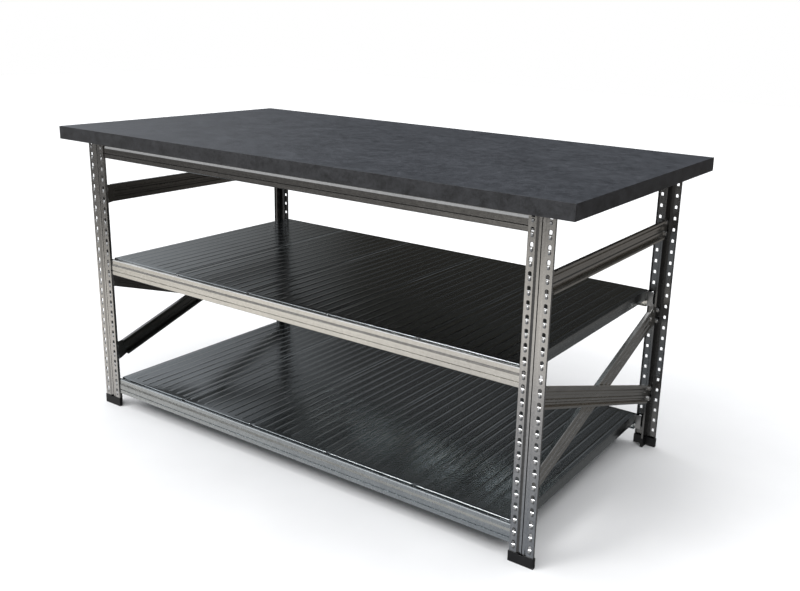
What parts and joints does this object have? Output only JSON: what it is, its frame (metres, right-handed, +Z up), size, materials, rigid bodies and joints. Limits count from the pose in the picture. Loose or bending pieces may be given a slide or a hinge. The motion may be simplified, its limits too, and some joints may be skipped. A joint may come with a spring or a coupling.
{
  "type": "rack workbench",
  "caption": "Long workbench of galvanised keyhole rack posts and step beams, with a dark stone-look laminate worktop, two ribbed steel shelves and cross-braced ends.",
  "frame": {"origin": "centre of the worktop's footprint, on the floor under the foot caps", "axes": "+X along the length of the bench, -Y towards the front, +Z up"},
  "size_m": [1.72, 0.9, 0.9],
  "materials": {
    "chipboard": "raw pressed chipboard",
    "stone_laminate": "satin anthracite laminate with a mottled stone look",
    "backing_sheet": "plain dark paper laminate",
    "edge_band": "satin anthracite mottled edge band",
    "black_plastic": "moulded black plastic",
    "post_steel": "bright galvanised sheet",
    "beam_steel": "bright galvanised sheet",
    "hook_steel": "galvanised plate",
    "panel_steel": "glossy galvanised thin sheet",
    "end_frame_steel": "galvanised sheet",
    "zinc_fasteners": "bright zinc plating"
  },
  "bodies": {
    "root": {"foot_cap_front_left": "black_plastic", "foot_cap_front_right": "black_plastic", "foot_cap_rear_left": "black_plastic", "foot_cap_rear_right": "black_plastic", "left_frame_bolts": "zinc_fasteners", "left_frame_nuts": "zinc_fasteners", "left_inner_brace": "end_frame_steel", "left_outer_brace": "end_frame_steel", "left_side_tie": "end_frame_steel", "lower_front_beam": "beam_steel", "lower_front_beam_hooks": "hook_steel", "lower_rear_beam": "beam_steel", "lower_rear_beam_hooks": "hook_steel", "lower_shelf_panel_1": "panel_steel", "lower_shelf_panel_2": "panel_steel", "lower_shelf_panel_3": "panel_steel", "lower_shelf_panel_4": "panel_steel", "lower_shelf_panel_5": "panel_steel", "middle_front_beam": "beam_steel", "middle_front_beam_hooks": "hook_steel", "middle_rear_beam": "beam_steel", "middle_rear_beam_hooks": "hook_steel", "middle_shelf_panel_1": "panel_steel", "middle_shelf_panel_2": "panel_steel", "middle_shelf_panel_3": "panel_steel", "middle_shelf_panel_4": "panel_steel", "middle_shelf_panel_5": "panel_steel", "post_front_left": "post_steel", "post_front_right": "post_steel", "post_rear_left": "post_steel", "post_rear_right": "post_steel", "right_frame_bolts": "zinc_fasteners", "right_frame_nuts": "zinc_fasteners", "right_inner_brace": "end_frame_steel", "right_outer_brace": "end_frame_steel", "right_side_tie": "end_frame_steel", "upper_front_beam": "beam_steel", "upper_front_beam_hooks": "hook_steel", "upper_rear_beam": "beam_steel", "upper_rear_beam_hooks": "hook_steel", "worktop_backing": "backing_sheet", "worktop_core": "chipboard", "worktop_edge_front": "edge_band", "worktop_edge_left": "edge_band", "worktop_edge_rear": "edge_band", "worktop_edge_right": "edge_band", "worktop_laminate": "stone_laminate"}
  },
  "joints": []
}
